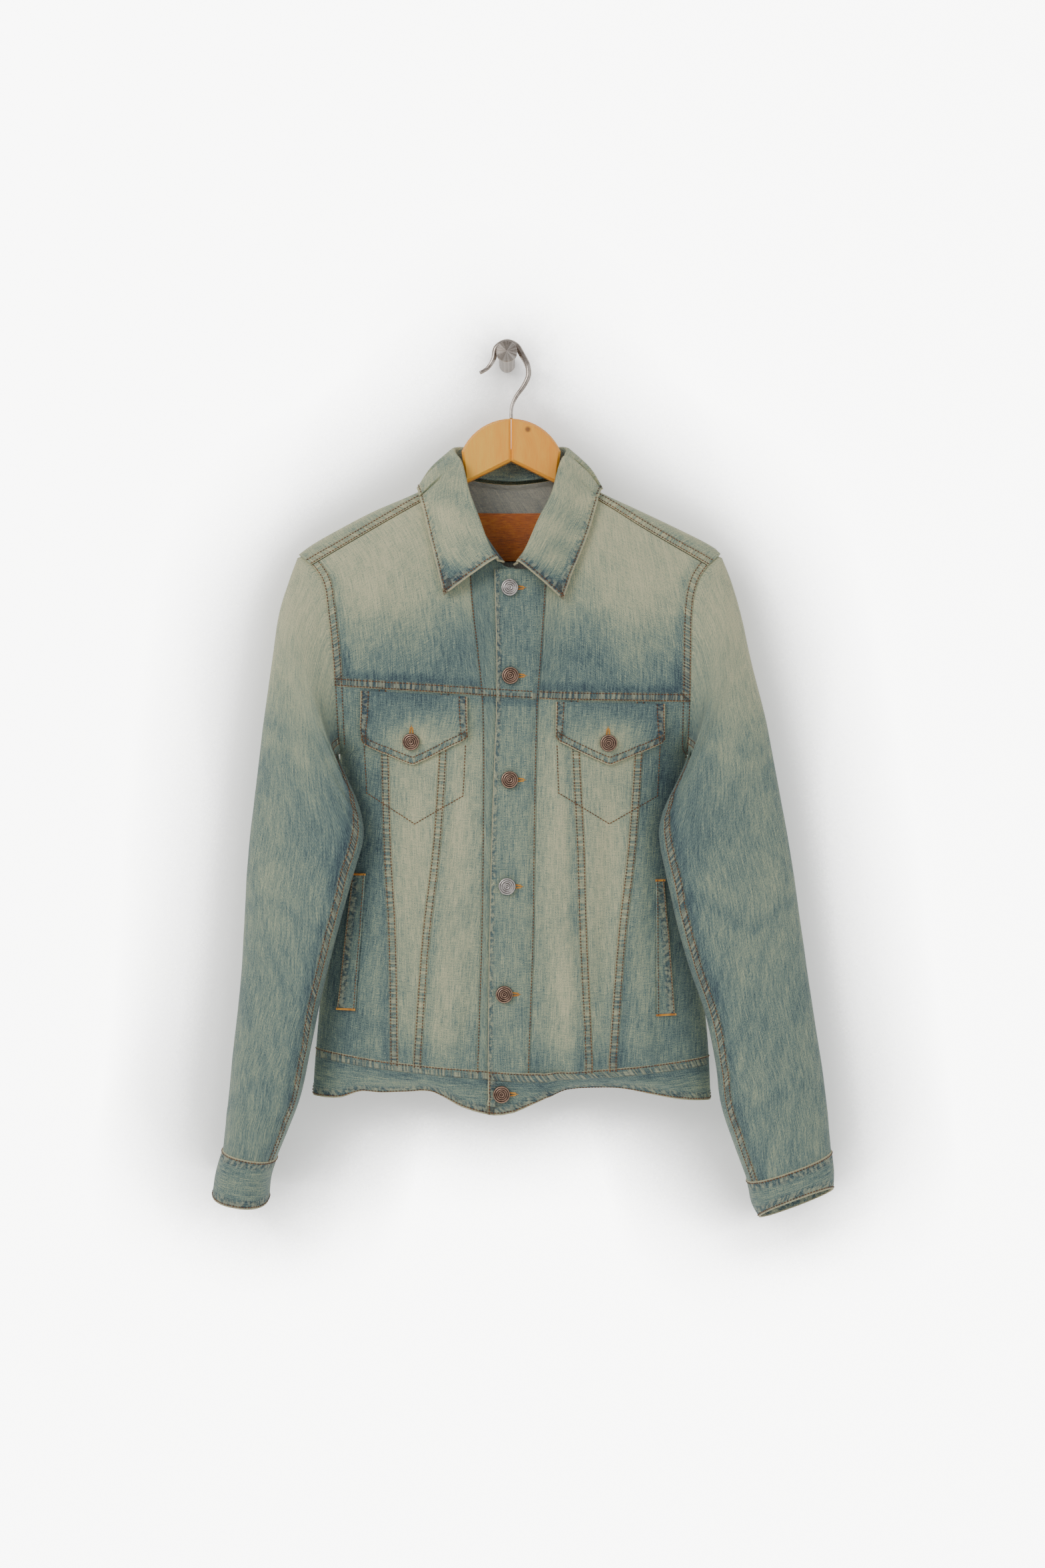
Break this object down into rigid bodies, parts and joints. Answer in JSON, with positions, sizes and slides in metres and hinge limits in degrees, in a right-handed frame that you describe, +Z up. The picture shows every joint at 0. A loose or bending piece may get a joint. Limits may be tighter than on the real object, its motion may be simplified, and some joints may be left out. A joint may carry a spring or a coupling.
{
  "type": "denim jacket on a hanger and wall peg",
  "caption": "Buttoned denim jacket hanging open-necked on a wooden hanger, whose wire hook rests on a round metal wall peg",
  "frame": {"origin": "centre of the wall peg's back face, on the wall", "axes": "+Z up, +Y into the wall, the jacket faces -Y, +X to the right as seen from the front"},
  "size_m": [0.626, 0.1035, 0.8932],
  "materials": {
    "yoke_denim": "faded woven cotton denim",
    "body_denim": "washed woven cotton denim",
    "sleeve_denim": "washed woven cotton denim",
    "strip_denim": "doubled woven cotton denim",
    "patch": "plain tan leather",
    "button_copper": "dark antique copper",
    "button_steel": "worn grey metal",
    "wood": "clear-lacquered beech",
    "hook": "nickel-plated wire",
    "peg": "turned metal"
  },
  "bodies": {
    "root": {"wall_peg": "peg", "hanger_hook": "hook", "hanger_left": "wood", "hanger_right": "wood", "front_yoke_left": "yoke_denim", "front_yoke_right": "yoke_denim", "back_yoke": "yoke_denim", "front_side_left": "body_denim", "front_wedge_left": "body_denim", "front_centre_left": "body_denim", "front_centre_right": "body_denim", "front_wedge_right": "body_denim", "front_side_right": "body_denim", "back_side_left": "body_denim", "back_centre": "body_denim", "back_side_right": "body_denim", "placket_left": "strip_denim", "placket_right": "strip_denim", "waistband": "strip_denim", "collar": "strip_denim", "flap_left": "strip_denim", "flap_right": "strip_denim", "welt_left": "strip_denim", "welt_right": "strip_denim", "cuff_left": "strip_denim", "cuff_right": "strip_denim", "sleeve_upper_left": "sleeve_denim", "sleeve_under_left": "sleeve_denim", "sleeve_upper_right": "sleeve_denim", "sleeve_under_right": "sleeve_denim", "neck_patch": "patch", "button_1": "button_steel", "button_2": "button_copper", "button_3": "button_copper", "button_4": "button_steel", "button_5": "button_copper", "button_6": "button_copper", "flap_button_left": "button_copper", "flap_button_right": "button_copper"}
  },
  "joints": []
}
